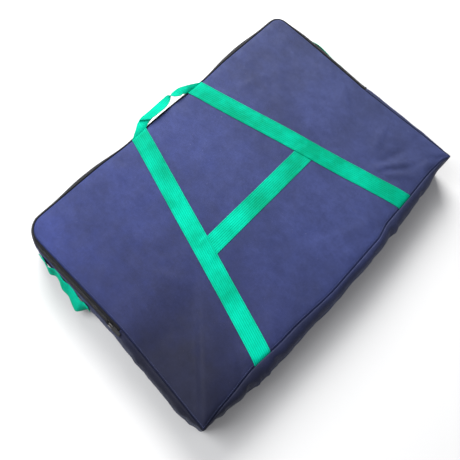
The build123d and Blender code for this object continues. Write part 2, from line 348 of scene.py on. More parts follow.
SHADE_PATCH_CENTRE = (-0.50, -0.22, 0.10)
NAVY = cloth_material("navy_cloth", (0.020, 0.028, 0.082), (0.031, 0.043, 0.132), 0.08, SHADE_PATCH_CENTRE)
# Painted shade: a darker copy of the navy cloth for the walls, which face away from the light.
SHADED_NAVY_WALL = cloth_material("navy_wall_painted_shade_cloth", (0.015, 0.020, 0.050), (0.025, 0.032, 0.086), 0.06, SHADE_PATCH_CENTRE)
GREEN = webbing_material("green_webbing", (0.0002, 0.28, 0.150), (0.0003, 0.50, 0.320), (0.02, 0.45, 0.33))
NAVY_THREAD = tape_material("navy_thread", (0.060, 0.072, 0.150))
GREEN_THREAD = tape_material("green_thread", (0.001, 0.20, 0.12))
TAPE = tape_material("black_zip_tape", (0.0055, 0.0055, 0.0075))
COIL = hard_material("black_zip_coil", (0.012, 0.012, 0.014), (0.05, 0.05, 0.055), 0.0, 0.30, 0.3, 0.62)
SLIDER = hard_material("black_slider", (0.012, 0.012, 0.013), (0.55, 0.53, 0.48), 0.85, 0.30, 0.2, 0.57)
RING = hard_material("bright_ring", (0.60, 0.60, 0.60), (0.30, 0.29, 0.27), 1.0, 0.22, 0.0, 0.60)
RUBBER = hard_material("black_pull_tab", (0.010, 0.010, 0.011), (0.05, 0.05, 0.05), 0.0, 0.42, 0.1, 0.60)


# Mesh helpers


def make(name, points, faces, material, slot, uvs=None):
    mesh = bpy.data.meshes.new(name)
    mesh.from_pydata([tuple(p) for p in points], [], faces)
    mesh.polygons.foreach_set("use_smooth", [True] * len(faces))
    if uvs:
        layer = mesh.uv_layers.new(name="weave")
        for loop in mesh.loops:
            layer.data[loop.index].uv = uvs[loop.vertex_index]
    mesh.validate()
    obj = bpy.data.objects.new(name, mesh)
    bpy.context.scene.collection.objects.link(obj)
    mesh.materials.append(material)
    return obj


def grid_faces(rows, columns, closed=False, flip=False, keep=None):
    """Faces of a grid of rows x columns points, in rows; closed joins the last row to the first."""
    faces = []
    for i in range(rows if closed else rows - 1):
        j = (i + 1) % rows
        for k in range(columns - 1):
            if keep and not keep(i, k):
                continue
            face = (i * columns + k, i * columns + k + 1, j * columns + k + 1, j * columns + k)
            faces.append(face[::-1] if flip else face)
    return faces


def used_only(points, faces, uvs):
    """Leaves out the points that no face uses."""
    used = sorted({v for face in faces for v in face})
    place = {v: i for i, v in enumerate(used)}
    return (
        [points[v] for v in used],
        [tuple(place[v] for v in face) for face in faces],
        [uvs[v] for v in used],
    )


def thicken(obj, thickness):
    """Gives a sheet its thickness, below the side that its faces look to."""
    modifier = obj.modifiers.new("thickness", "SOLIDIFY")
    modifier.thickness = thickness
    modifier.offset = -1.0
    modifier.use_even_offset = False
    return obj


def apply_modifiers(obj):
    """Turns the modifiers into plain mesh."""
    bpy.context.view_layer.update()
    shape = obj.evaluated_get(bpy.context.evaluated_depsgraph_get())
    mesh = bpy.data.meshes.new_from_object(shape)
    old = obj.data
    obj.modifiers.clear()
    obj.data = mesh
    bpy.data.meshes.remove(old)
    mesh.name = obj.name
    return obj


# The face: how the cloth of the front and the back lies


def base_half_width(y, side):
    drop = max(0.0, -y / HALF_H)
    if side < 0:
        return LEFT_HALF_W + LEFT_FLARE * drop**1.2
    bow = max(0.0, 1 - ((y - 0.06) / 0.36) ** 2)
    return RIGHT_HALF_W + RIGHT_FLARE * drop**1.3 + 0.009 * bow


def corner_inset(y, side):
    radius = LEFT_CORNER if side < 0 else RIGHT_CORNER
    high = y - (HALF_H - radius)
    if high > 0:
        return radius - sqrt(max(0.0, radius**2 - high**2))
    low = (FOOT_RADIUS - HALF_H) - y
    if low > 0:
        return FOOT_RADIUS - sqrt(max(0.0, FOOT_RADIUS**2 - low**2))
    return 0.0


# How far the bottom seam is drawn in (above 0) or pushed out, along its length, in millimetres
FOOT_WAVES = metres((
    (-500, 4), (-420, 9), (-315, 13.8), (-210, 5), (-20, -7.8), (150, -7),
    (212, 3.5), (300, 5), (400, 7.8), (455, 5), (495, -6),
))


def foot_wave(x):
    keys = [key for key, _ in FOOT_WAVES]
    k = min(len(keys) - 2, max(0, bisect_right(keys, x) - 1))
    (low, here), (high, there) = FOOT_WAVES[k : k + 2]
    return here + (there - here) * smooth((x - low) / (high - low))


def top_bow(x):
    """How far the top seam is pushed out, behind the handle and on both sides of it."""
    return 0.0040 * exp(-((x / 0.13) ** 2)) + 0.0055 * smooth((abs(x) - 0.13) / 0.12)


def lay(x, y):
    """Where a point of the flat-cut face lies: the bag has slumped a little out of square."""
    down = (HALF_H - y) / (2 * HALF_H)
    skew = SKEW - SKEW_TWIST * y / HALF_H
    return x, y + foot_wave(x) * max(0.0, down) ** 6 + top_bow(x) * max(0.0, 1 - down) ** 6 + skew * x


def unlay_y(x, y):
    return y - (SKEW - SKEW_TWIST * y / HALF_H) * x


def seam_distance(x, y):
    """How far inside the seam a point of the face is."""
    v = unlay_y(x, y)
    side = base_half_width(v, x) - abs(x)
    top = HALF_H + top_bow(x) - v
    radius = LEFT_CORNER if x < 0 else RIGHT_CORNER
    if top < radius and side < radius:
        return radius - hypot(radius - side, radius - top)
    return min(side, top, v + HALF_H - foot_wave(x))


# The fold that runs up from the lower left corner: its foot and its direction
SLUMP_FOOT = (-0.492, -0.330)
SLUMP_RUN = (0.676, 0.737)


def slump(x, y):
    """The lower left corner has sunk, left of the fold that runs up from it."""
    beside = (y - SLUMP_FOOT[1]) * SLUMP_RUN[0] - (x - SLUMP_FOOT[0]) * SLUMP_RUN[1]
    fade = smooth((-0.024 - y) / 0.11)
    return (0.0045 * smooth(beside / 0.11) + 0.0055 * smooth((beside + 0.006) / 0.026)) * fade


def ripple(x, y, size, seed):
    return noise.noise(Vector((x / size, y / size, seed)))


# Soft folds in the front, in millimetres: start, end, height, half width on each side
FOLDS = metres((
    ((-492, -330), (-325, -150), 6.2, 12, 44),
    ((-470, -290), (-440, -120), -2.2, 20, 30),
    ((300, -178), (392, -240), 4.6, 10, 16),
    ((306, -214), (366, -270), 3.8, 9, 13),
    ((330, -180), (410, -205), -2.6, 10, 12),
    ((318, -205), (372, -246), -2.6, 8, 8),
    ((436, -270), (486, -306), -4.6, 9, 16),
    ((395, -268), (470, -285), 3.4, 10, 16),
    ((-345, -312), (-322, -262), -2, 10, 12),
    ((-305, -308), (-296, -268), 1.6, 8, 9),
    ((165, -300), (176, -268), -1.6, 8, 12),
    ((60, -302), (64, -276), 1.4, 9, 9),
    ((-100, -306), (-110, -276), -1.5, 9, 11),
    ((-190, 300), (-176, 268), -1.2, 10, 10),
    ((250, 318), (262, 290), -1.2, 10, 12),
    ((-400, 280), (-300, 190), 1.6, 20, 30),
    ((-455, 60), (-380, 120), 1.6, 14, 20),
    ((-230, -290), (-130, -200), 1.4, 14, 22),
    ((80, -240), (190, -280), 1.6, 12, 20),
    ((-20, -160), (70, -215), -1.4, 14, 22),
    ((430, 50), (360, -40), 1.6, 12, 22),
    ((420, -120), (330, -150), 2, 9, 16),
    ((200, 240), (300, 215), 1.4, 12, 20),
    ((-60, 130), (40, 190), 1.2, 14, 20),
    ((-330, 10), (-270, -80), 1.5, 12, 18),
    ((380, 270), (260, 120), 1.4, 24, 34),
))


def fold_height(x, y):
    total = 0.0
    for start, end, height, left, right in FOLDS:
        run_x, run_y = end[0] - start[0], end[1] - start[1]
        length = hypot(run_x, run_y)
        along = ((x - start[0]) * run_x + (y - start[1]) * run_y) / length**2
        if not -0.4 < along < 1.4:
            continue
        away = ((x - start[0]) * run_y - (y - start[1]) * run_x) / length
        width = right if away > 0 else left
        if abs(away) > 4 * width:
            continue
        wander = 0.25 * width * ripple(x, y, 0.05, 7.3)
        fade = smooth((along + 0.25) / 0.45) * smooth((1.35 - along) / 0.8)
        total += height * fade * exp(-(((away + wander) / width) ** 2))
    return total


def cloth_height(x, y):
    """The top of the front cloth at a point of the laid face."""
    inside = max(0.0, seam_distance(x, y))
    settle = smooth(inside / 0.05)
    height = SEAM_Z + CROWN * (1 - exp(-inside / 0.011)) - slump(x, y)
    height -= GROOVE * exp(-((inside / 0.0024) ** 2))
    height += settle * (0.0042 * ripple(x, y, 0.21, 1.7) + 0.0012 * ripple(x, y, 0.075, 4.1))
    height += 0.0004 * ripple(x, y, 0.028, 9.2) * smooth(inside / 0.02)
    height += fold_height(x, y) * smooth(inside / 0.014)
    height -= 0.0005 * exp(-(((inside - EDGE_ROW) / 0.0013) ** 2))
    return height


def back_height(x, y):
    inside = max(0.0, seam_distance(x, y))
    settle = smooth(inside / 0.04)
    return BACK_CLOTH_Z + 0.0009 * settle * ripple(x, y, 0.09, 21.0)


# The face's rows and columns, closer together by the seam and at the fold

edge_steps = (0.0, 0.0014, 0.0030, 0.0045, 0.0062, 0.0085, 0.0120, 0.0165, 0.0220)
STEP = 0.0050
FOLD_STEP = 0.002
FOLD_ZONE = (-0.014, 0.030)

side_steps = [-1 + d / HALF_W for d in edge_steps]
side_inner = side_steps[-1] + STEP / HALF_W
columns = side_steps + spread(side_inner, -side_inner, STEP / HALF_W) + [-side_inner]
columns += [-v for v in reversed(side_steps)]

foot_rows = [-HALF_H + d for d in (0.0, 0.0008, 0.0026, 0.0045, 0.0062, 0.0085, 0.0120, 0.0165, 0.0220)]
head_rows = [HALF_H - LEFT_CORNER * (1 - sin(radians(a))) for a in range(0, 60, 6)]
head_rows += [HALF_H - d for d in (0.0062, 0.0045, 0.0030, 0.0014, 0.0)]
rows = foot_rows + spread(-HALF_H + 0.0275, FOLD_ZONE[0], STEP)
rows += spread(*FOLD_ZONE, FOLD_STEP) + spread(FOLD_ZONE[1], head_rows[0], STEP) + head_rows


def face_grid(height):
    points = []
    for y in rows:
        halves = [base_half_width(y, side) - corner_inset(y, side) for side in (-1, 1)]
        for across in columns:
            x, laid_y = lay(across * halves[across > 0], y)
            points.append((x, laid_y, height(x, laid_y)))
    return points


front_points = face_grid(cloth_height)
columns_n, rows_n = len(columns), len(rows)
flat_uv = [(p[0], p[1]) for p in front_points]
face_quads = grid_faces(rows_n, columns_n)

# The seam all round, as one loop of points: up the left side, along the top, down the right, back

loop_ids = [r * columns_n for r in range(rows_n)]
loop_ids += [(rows_n - 1) * columns_n + c for c in range(1, columns_n)]
loop_ids += [r * columns_n + columns_n - 1 for r in range(rows_n - 2, -1, -1)]
loop_ids += [c for c in range(columns_n - 2, 0, -1)]
seam = [Vector(front_points[i]) for i in loop_ids]
STATIONS = len(seam)


def side_place(station):
    """0 to 1 up the left side, 1 to 2 along the top, 2 to 3 down the right, 3 to 4 back along the bottom."""
    left, top, right = rows_n - 1, rows_n + columns_n - 2, 2 * rows_n + columns_n - 3
    if station <= left:
        return (rows[station] + HALF_H) / (2 * HALF_H)
    if station <= top:
        return 1 + (columns[station - left] + 1) / 2
    if station <= right:
        return 2 + (HALF_H - rows[rows_n - 1 - (station - top)]) / (2 * HALF_H)
    return 3 + (1 - columns[columns_n - 1 - (station - right)]) / 2


places = [side_place(i) for i in range(STATIONS)]
seam_run = [0.0]
for i in range(1, STATIONS):
    seam_run.append(seam_run[-1] + (seam[i] - seam[i - 1]).length)


NORMAL_REACH = 3


def outward(station):
    """The way out of the bag, square to the seam over a few stations on both sides."""
    before, after = (seam[(station + step) % STATIONS] for step in (-NORMAL_REACH, NORMAL_REACH))
    run = after - before
    return Vector((-run.y, run.x, 0.0)).normalized()


normals = [outward(i) for i in range(STATIONS)]

# The wall's cross-sections: (out, down) in millimetres, from the front seam to the back seam.
# Where the zip runs, the third point is the middle of the coil and the fourth the tape's edge.

DEPTH_MM = (SEAM_Z - BACK_CLOTH_Z) * 1000
coil_out = (-(slider_low[0] + slider_high[0]) / 2 - LEFT_HALF_W) * 1000
coil_down = (SEAM_Z - (FACE_Z - 0.002 - 0.0085)) * 1000


def zipped(upper, belly, low):
    """A wall with the zip along it: the zip's facet, then the belly."""
    first, middle, edge = upper
    return (
        (0, 0), first, middle, edge,
        (belly - 0.6, 34), (belly, 56), (belly * 0.92, 80), (low, 99), (0, DEPTH_MM),
    )


def plain(bulge):
    """A wall of plain cloth, puffed out round from seam to seam."""
    return (
        (0, 0), (0.30 * bulge, 1.4), (0.60 * bulge, 7), (0.83 * bulge, 18),
        (0.97 * bulge, 36), (bulge, 56), (0.92 * bulge, 80), (0.58 * bulge, 98), (0, DEPTH_MM),
    )


slider_facet = ((coil_out - 7.0, 1.6), (coil_out, coil_down), (coil_out + 4.2, coil_down + 4.8))
corner_facet = ((2.0, 1.6), (5.4, 6.6), (7.6, 12.0))
top_facet = ((4.6, 1.4), (10.2, 6.2), (12.8, 11.2))
handle_facet = ((2.0, 1.4), (4.4, 6.8), (6.0, 11.8))

WALLS = (
    (0.000, plain(2.0)),
    (0.018, plain(4.0)),
    (0.060, plain(12.0)),
    (0.130, plain(19.0)),
    (0.280, plain(20.5)),
    (0.420, plain(20.0)),
    (0.458, zipped(slider_facet, 18.5, 12.0)),
    (0.640, zipped(slider_facet, 17.6, 11.5)),
    (0.890, zipped(slider_facet, 15.0, 10.0)),
    (0.965, zipped(corner_facet, 10.5, 6.5)),
    (1.040, zipped(corner_facet, 10.5, 6.5)),
    (1.160, zipped(top_facet, 13.0, 8.0)),
    (1.340, zipped(handle_facet, 7.4, 5.0)),
    (1.660, zipped(handle_facet, 7.4, 5.0)),
    (1.840, zipped(top_facet, 14.0, 8.0)),
    (1.960, zipped(corner_facet, 11.0, 7.0)),
    (2.040, zipped(corner_facet, 12.5, 7.0)),
    (2.160, zipped(top_facet, 20.0, 12.0)),
    (2.500, zipped(top_facet, 23.0, 14.0)),
    (2.552, plain(23.0)),
    (2.800, plain(22.0)),
    (2.940, plain(11.0)),
    (2.985, plain(4.0)),
    (3.000, plain(3.0)),
    (3.030, plain(11.0)),
    (3.100, plain(25.0)),
    (3.250, plain(31.0)),
    (3.340, plain(26.0)),
    (3.500, plain(25.0)),
    (3.600, plain(27.0)),
    (3.710, plain(35.0)),
    (3.810, plain(37.0)),
    (3.880, plain(28.0)),
    (3.935, plain(17.0)),
    (3.975, plain(7.0)),
    (4.000, plain(2.0)),
)
FINE = 4
MIDDLE, EDGE = 2 * FINE, 3 * FINE


def wall_shape(place):
    keys = [key for key, _ in WALLS]
    k = min(len(WALLS) - 2, max(0, bisect_right(keys, place) - 1))
    blend = smooth((place - keys[k]) / (keys[k + 1] - keys[k]))
    return [
        (a[0] + (b[0] - a[0]) * blend, a[1] + (b[1] - a[1]) * blend)
        for a, b in zip(WALLS[k][1], WALLS[k + 1][1])
    ]


def spline(p, q, r, s, t):
    """The value at share t of the way from q to r, on a smooth line through all four."""
    bend = (2 * p - 5 * q + 4 * r - s) * t * t + (3 * q - p - 3 * r + s) * t**3
    return 0.5 * (2 * q + (r - p) * t + bend)


def through(points, count):
    """A smooth line through points, with count steps between each two."""
    line = []
    padded = [points[0]] + list(points) + [points[-1]]
    for k in range(len(points) - 1):
        for step in range(count):
            line.append(tuple(spline(*four, step / count) for four in zip(*padded[k : k + 4])))
    line.append(tuple(points[-1]))
    return line


# Puckers that run across the wall from a seam: place along the seam, width, height, lean, and True
# for those that start at the front
dice = random.Random(11)
PUCKERS = []
along = 0.0
while along < seam_run[-1]:
    along += dice.uniform(0.035, 0.105)
    width = dice.uniform(0.006, 0.014)
    height = dice.uniform(-0.0042, 0.0034)
    lean = dice.uniform(-0.035, 0.035)
    PUCKERS.append((along, width, height, lean, dice.random() < 0.62))

# Deeper creases where the legs' feet pull at the bottom seam, placed by x, in millimetres
for x, width, height, lean in metres((
    (-350, 7, -6.5, 30), (-322, 6, 4, 18), (-258, 8, -6, -20),
    (-285, 6, 3.5, 12), (196, 8, -5, 22), (222, 6, 4, 10),
    (345, 8, -4, -18), (430, 7, -4.5, 16), (-420, 7, -3.5, 20),
)):
    at = min(range(2 * rows_n + columns_n - 3, STATIONS), key=lambda i, x=x: abs(seam[i].x - x))
    PUCKERS.append((seam_run[at], width, height, lean, True))


def pucker(run, fall, zip_run):
    """How far the wall's cloth is puckered out; fall is 0 at the front seam and 1 at the back."""
    total = 0.0
    for middle, width, height, lean, front in PUCKERS:
        away = run - middle - lean * fall
        if abs(away) > 4 * width:
            continue
        fade = smooth((fall - 0.02) / 0.12) * smooth((0.75 - fall) / 0.5)
        if not front:
            fade = smooth((0.98 - fall) / 0.12) * smooth((fall - 0.3) / 0.4)
        total += height * fade * exp(-((away / width) ** 2))
    return total * (0.35 + 0.65 * (1 - zip_run))


zip_low = 0.5 + ZIP_END_Y / (2 * HALF_H)


def in_zip(place):
    """1 where the zip runs, 0 along the plain walls."""
    return smooth((place - zip_low + 0.03) / 0.03) * smooth((3 - zip_low + 0.03 - place) / 0.03)


ring = []
for i in range(STATIONS):
    line = through(wall_shape(places[i]), FINE)
    section = []
    for k, (out, down) in enumerate(line):
        fall = down / DEPTH_MM
        point = seam[i] + normals[i] * (out / 1000)
        top = seam[i].z if k == 0 else SEAM_Z - slump(seam[i].x, seam[i].y)
        point.z = top + (BACK_CLOTH_Z - top) * fall
        zip_here = in_zip(places[i])
        calm = min(1.0, max(0.0, out / 14.0))
        swell = pucker(seam_run[i], fall, zip_here)
        swell += 0.003 * ripple(seam_run[i] + 5.0, fall * 0.12, 0.07, 3.3)
        swell += 0.0012 * ripple(seam_run[i] + 1.0, fall * 0.12, 0.024, 8.8)
        fade = smooth((k - EDGE - 1) / 6) if zip_here > 0.5 else smooth(k / 3)
        fade *= smooth((len(line) - 1 - k) / 3)
        section.append(point + normals[i] * (swell * calm * fade))
    ring.append(section)
SECTION = len(ring[0])


def arc_lengths(section):
    total = [0.0]
    for a, b in zip(section, section[1:]):
        total.append(total[-1] + (b - a).length)
    return total


arcs = [arc_lengths(section) for section in ring]


def on_wall(station, arc_of, lift=0.0):
    """A point of the wall and its outward direction, arc_of(station) down the wall from the front seam."""
    points, ups = [], []
    for index in (int(station) % STATIONS, (int(station) + 1) % STATIONS):
        line, want, out = arcs[index], arc_of(index), normals[index]
        k = min(len(line) - 2, max(0, bisect_right(line, want) - 1))
        share = (want - line[k]) / max(1e-9, line[k + 1] - line[k])
        a, b = ring[index][k], ring[index][k + 1]
        run = (b - a).normalized()
        up = (out * -run.z + Vector((0, 0, run.dot(out)))).normalized()
        points.append(a.lerp(b, share) + up * lift)
        ups.append(up)
    share = station - int(station)
    return points[0].lerp(points[1], share), ups[0].lerp(ups[1], share).normalized()


zip_first = min(i for i in range(STATIONS) if places[i] >= zip_low)
zip_last = max(i for i in range(STATIONS) if places[i] <= 3 - zip_low)

# Front cloth

front = make("front_cloth", front_points, face_quads, NAVY, "cloth", flat_uv)
thicken(front, CLOTH)
apply_modifiers(front)
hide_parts("front_panel", "front_flap")
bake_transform(front)

# Walls

ring_points = [p for section in ring for p in section]
ring_uv = [(arcs[i][k], seam_run[i]) for i in range(STATIONS) for k in range(SECTION)]


def cloth_here(i, k):
    zipped_here = zip_first <= i < zip_last
    return k >= EDGE or not zipped_here


wall_faces = grid_faces(STATIONS, SECTION, closed=True, keep=cloth_here, flip=True)
points, faces, uvs = used_only(ring_points, wall_faces, ring_uv)
# The walls take the darker copy of the navy cloth: painted shade.
walls = make("gusset_cloth", points, faces, SHADED_NAVY_WALL, "cloth", uvs)
thicken(walls, CLOTH)
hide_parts("gusset_left", "gusset_right", "gusset_bottom", "gusset_top")
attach(walls, "bag")

# Back cloth

back_points = [(p[0], p[1], back_height(p[0], p[1])) for p in front_points]
back = make("back_cloth", back_points, grid_faces(rows_n, columns_n, flip=True), NAVY, "cloth", flat_uv)
thicken(back, BACK_CLOTH)
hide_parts("back_panel")
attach(back, "bag")


# Strips that follow the wall: zip tapes and seam bindings


COIL_GAP = 0.0021  # From the middle of the coil to each tape


def strip(name, stations, from_arc, to_arc, slot, lift, across, closed=False):
    """Tape that lies on the wall, from one distance down it to another, lifted off the cloth or sunk."""
    points, uvs = [], []
    for i in stations:
        for k in range(across):
            share = k / (across - 1)
            arc = from_arc(i) + (to_arc(i) - from_arc(i)) * share
            points.append(on_wall(i, lambda _, arc=arc: arc, lift)[0])
            uvs.append((arc, seam_run[i]))
    faces = grid_faces(len(stations), across, flip=True, closed=closed)
    return apply_modifiers(thicken(make(name, points, faces, TAPE, slot, uvs), TAPE_CLOTH))


def coil_middle(i):
    return arcs[i][MIDDLE]


zip_stations = range(zip_first, zip_last + 1)
tape_front = strip(
    "zip_tape_front", zip_stations, lambda i: 0.0, lambda i: coil_middle(i) - COIL_GAP, "zip_tape", 0.0, 8
)
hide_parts("zip_tape_flap", "zip_tape_feet")
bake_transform(tape_front)
tape_back = strip(
    "zip_tape_back", zip_stations, lambda i: coil_middle(i) + COIL_GAP, lambda i: arcs[i][EDGE] + 0.003,
    "zip_tape", -0.0004, 8,
)
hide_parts("zip_tape_body")
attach(tape_back, "bag")


# Zip coils: rows of small bent loops of nylon


def tube(points, frames, radii, sides=6):
    """Points and faces of a closed tube along a line; frames gives two cross directions for each point."""
    verts, faces = [], []
    for point, (u, v), radius in zip(points, frames, radii):
        for s in range(sides):
            angle = 2 * pi * s / sides
            verts.append(point + u * (cos(angle) * radius) + v * (sin(angle) * radius))
    for i in range(len(points) - 1):
        for s in range(sides):
            n = (s + 1) % sides
            faces.append((i * sides + s, i * sides + n, (i + 1) * sides + n, (i + 1) * sides + s))
    faces.append(tuple(reversed(range(sides))))
    faces.append(tuple((len(points) - 1) * sides + s for s in range(sides)))
    return verts, faces


def joined(parts):
    """Points and faces of several shapes as one."""
    verts, faces = [], []
    for new_verts, new_faces in parts:
        base = len(verts)
        verts += new_verts
        faces += [tuple(base + v for v in face) for face in new_faces]
    return verts, faces


def station_at(run):
    k = min(STATIONS - 2, max(0, bisect_right(seam_run, run) - 1))
    return k + (run - seam_run[k]) / (seam_run[k + 1] - seam_run[k])


TOOTH_PITCH = 0.0025
# A tooth's line, across the zip and up from the tape, and its radii
TOOTH = ((-0.0034, -0.0001), (-0.0026, 0.0006), (-0.0004, 0.0009), (0.0004, 0.0003))
TOOTH_RADII = (0.00062, 0.00068, 0.00068, 0.00058)


def coil(name, side, offset):
    """One row of teeth: side is -1 for the row next to the front, 1 for the row on the wall."""
    teeth = []
    run = seam_run[zip_first] + 0.001 + offset
    while run < seam_run[zip_last] - 0.001:
        station = station_at(run)
        middle, up = on_wall(station, coil_middle)
        beside, _ = on_wall(station, lambda i: coil_middle(i) + 0.001)
        across = (beside - middle).normalized() * -side
        tangent = up.cross(across).normalized()
        line = [middle + across * a + up * h for a, h in TOOTH]
        teeth.append(tube(line, [(tangent, up)] * len(line), TOOTH_RADII))
        run += TOOTH_PITCH
    return make(name, *joined(teeth), COIL, "zip_coil")


coil_front = coil("zip_coil_front", -1, 0.0)
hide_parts("zip_coil_flap", "zip_coil_feet")
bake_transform(coil_front)
coil_back = coil("zip_coil_back", 1, TOOTH_PITCH / 2)
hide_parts("zip_coil_body")
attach(coil_back, "bag")

# Bar tacks that close the zip's ends

threads = []
for station in (zip_first + 1, zip_last - 1):
    for row in (-1, 0, 1):
        ends = []
        for a in (-0.0052, -0.002, 0.002, 0.0052):
            ends.append(on_wall(station + row * 0.25, lambda i, a=a: coil_middle(i) + a, 0.0011)[0])
        beside = Vector((0, 1, 0))
        up = (ends[-1] - ends[0]).normalized().cross(beside).normalized()
        threads.append(tube(ends, [(beside, up)] * 4, (0.0005, 0.0008, 0.0008, 0.0005)))
tacks = make("zip_end_tacks", *joined(threads), TAPE, "zip_metal")
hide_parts("zip_stops")
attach(tacks, "bag")

# Seam bindings, inside

BINDING_LIFT = -0.0018
binding_back = strip(
    "seam_binding_back", range(STATIONS), lambda i: arcs[i][-1] - 0.013, lambda i: arcs[i][-1] - 0.0006,
    "binding", BINDING_LIFT, 4, closed=True,
)
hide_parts("binding_back")
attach(binding_back, "bag")
foot_stations = [i % STATIONS for i in range(zip_last + 1, STATIONS + zip_first)]
binding_front = strip(
    "seam_binding_front", foot_stations, lambda i: 0.0008, lambda i: 0.012, "binding", BINDING_LIFT, 4
)
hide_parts("binding_front")
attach(binding_front, "bag")


# Webbing

def rib_profile(a):
    """Height of the webbing across its width, a from -1 to 1, as a share of its thickness."""
    edge = abs(a)
    if edge > 0.985:
        return 0.45
    if edge > 0.90:
        return 1.0 - 6.5 * (edge - 0.93) ** 2 * 8
    if edge > RIBBED:
        return 0.62
    return 0.74 + 0.24 * cos(pi * (RIBS * (a / RIBBED) + 1))


RIB_PLACES = [-1.0, -0.985, -0.955, -0.925, -0.885]
RIB_PLACES += [-RIBBED + 2 * RIBBED * k / (RIBS * 4) for k in range(1, RIBS * 4)]
RIB_PLACES += [0.885, 0.925, 0.955, 0.985, 1.0]


def band(name, rungs, thickness=WEBBING, settle=None, both=False):
    """A strap from rungs of (left edge, right edge, up); settle moves each point onto the cloth below it.

    both gives the underside the same ribs, with the rungs in the strap's middle."""
    verts, uvs, faces = [], [], []
    run = 0.0
    for index, (left, right, up) in enumerate(rungs):
        middle = (left + right) / 2
        if index:
            run += (middle - (rungs[index - 1][0] + rungs[index - 1][1]) / 2).length
        width = (right - left).length
        for height in (1, 0):
            order = RIB_PLACES if height else reversed(RIB_PLACES)
            for a in order:
                point = left.lerp(right, (a + 1) / 2)
                if settle:
                    point = settle(point)
                lift = thickness * rib_profile(a) if height else -FLOOR_CLEARANCE
                if both:
                    lift = thickness / 2 * rib_profile(a) * (1 if height else -1)
                verts.append(point + up * lift)
                uvs.append((a * width / 2, run))
    ring_n = 2 * len(RIB_PLACES)
    for i in range(len(rungs) - 1):
        for k in range(ring_n):
            n = (k + 1) % ring_n
            faces.append((i * ring_n + k, (i + 1) * ring_n + k, (i + 1) * ring_n + n, i * ring_n + n))
    top = len(RIB_PLACES)
    last = (len(rungs) - 1) * ring_n
    for k in range(top - 1):
        low = ring_n - 1 - k
        faces.append((k, k + 1, low - 1, low))
        faces.append((last + k + 1, last + k, last + low, last + low - 1))
    return make(name, verts, faces, GREEN, "webbing", uvs)


def leg_x(y):
    return LEG_FOOT_X + (LEG_TOP_X - LEG_FOOT_X) * (y + HALF_H) / (2 * HALF_H)


def on_front(point):
    return Vector((point.x, point.y, cloth_height(point.x, point.y)))


def strap_ground(x, y):
    """The cloth's height under a strap, which spans the groove beside the top seam."""
    return cloth_height(x, min(y, lay(x, HALF_H)[1] - 0.012))


def over_bar(point):
    """The legs climb a little where the crossbar's ends are tucked under them."""
    height = strap_ground(point.x, point.y)
    v = unlay_y(point.x, point.y)
    inner = leg_x(v) + 0.006 - abs(point.x)
    beside = smooth((BAR_HALF + 0.008 - abs(v - BAR_Y)) / 0.009)
    return Vector((point.x, point.y, height + 0.0013 * beside * smooth(inner / 0.012)))


LEG_JOIN_Y = HALF_H - 0.018
FRONT_JOIN_Y = HALF_H - 0.0015
FRONT_LEAN = {-1: 0.010, 1: 0.003}
foot_rungs = spread(-HALF_H - 0.0005, -HALF_H + 0.03, 0.003)
leg_rows = foot_rungs + spread(-HALF_H + 0.03, LEG_JOIN_Y, 0.006) + [LEG_JOIN_Y]
front_leg_rows = foot_rungs + spread(-HALF_H + 0.03, -0.016, 0.006) + spread(-0.016, 0.032, 0.002)
front_leg_rows += spread(0.032, FRONT_JOIN_Y, 0.006) + [FRONT_JOIN_Y]


def front_lean(side, y):
    """The front legs' tops lean to the right of where they were cut."""
    return FRONT_LEAN[side] * (y + HALF_H) / (2 * HALF_H)


def leg_rungs(side, ys, lean=None):
    rungs = []
    for y in ys:
        over = lean(side, y) if lean else 0.0
        edges = sorted((side * (leg_x(y) - LEG_HALF) + over, side * (leg_x(y) + LEG_HALF) + over))
        left, right = (Vector((*lay(x, y), 0.0)) for x in edges)
        rungs.append((left, right, UP))
    return rungs


STITCH = 0.0030
STITCH_GAP = 0.0014
THREAD = 0.00032


def stitches(line):
    """A row of sewing thread: short raised stitches along a line of points."""
    sewn = []
    runs = [0.0]
    for a, b in zip(line, line[1:]):
        runs.append(runs[-1] + (b - a).length)
    place = STITCH_GAP
    while place + STITCH < runs[-1]:
        picked = []
        for share, rise in ((0.0, -0.0002), (0.22, 0.0003), (0.78, 0.0003), (1.0, -0.0002)):
            want = place + STITCH * share
            k = min(len(line) - 2, max(0, bisect_right(runs, want) - 1))
            t = (want - runs[k]) / max(1e-9, runs[k + 1] - runs[k])
            picked.append(line[k].lerp(line[k + 1], t) + UP * rise)
        beside = (picked[-1] - picked[0]).normalized().cross(UP).normalized()
        sewn.append(tube(picked, [(beside, UP)] * 4, (THREAD * 0.6, THREAD, THREAD, THREAD * 0.6), 5))
        place += STITCH + STITCH_GAP
    return joined(sewn)


for side, word in ((-1, "left"), (1, "right")):
    rungs = leg_rungs(side, front_leg_rows, front_lean)
    leg = band(f"front_leg_{word}", rungs, settle=over_bar)
    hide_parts(f"front_leg_{word}_lower", f"front_leg_{word}_upper")
    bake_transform(leg)
    seams = []
    for a in (-0.885, 0.885):
        line = [over_bar(left.lerp(right, (a + 1) / 2)) + UP * (WEBBING * 0.70) for left, right, _ in rungs]
        seams.append(stitches(line))
    sewn = make(f"front_leg_{word}_stitching", *joined(seams), GREEN_THREAD, "webbing")
    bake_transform(sewn)


def bar_rungs(reach):
    rungs = []
    for k in range(61):
        x = -reach + 2 * reach * k / 60
        low, high = (Vector((*lay(x, BAR_Y + s * BAR_HALF), 0.0)) for s in (-1, 1))
        rungs.append((high, low, UP))
    return rungs


bar_reach = leg_x(BAR_Y) - 0.004
front_bar = band("front_crossbar_webbing", bar_rungs(bar_reach), settle=on_front, thickness=WEBBING * 0.85)
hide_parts("front_crossbar")
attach(front_bar, "bag")

# Webbing on the back, between the cloth and the floor


def on_back(point):
    return Vector((point.x, point.y, WEBBING))


def mirrored(rungs):
    return [(right, left, DOWN) for left, right, _ in rungs]


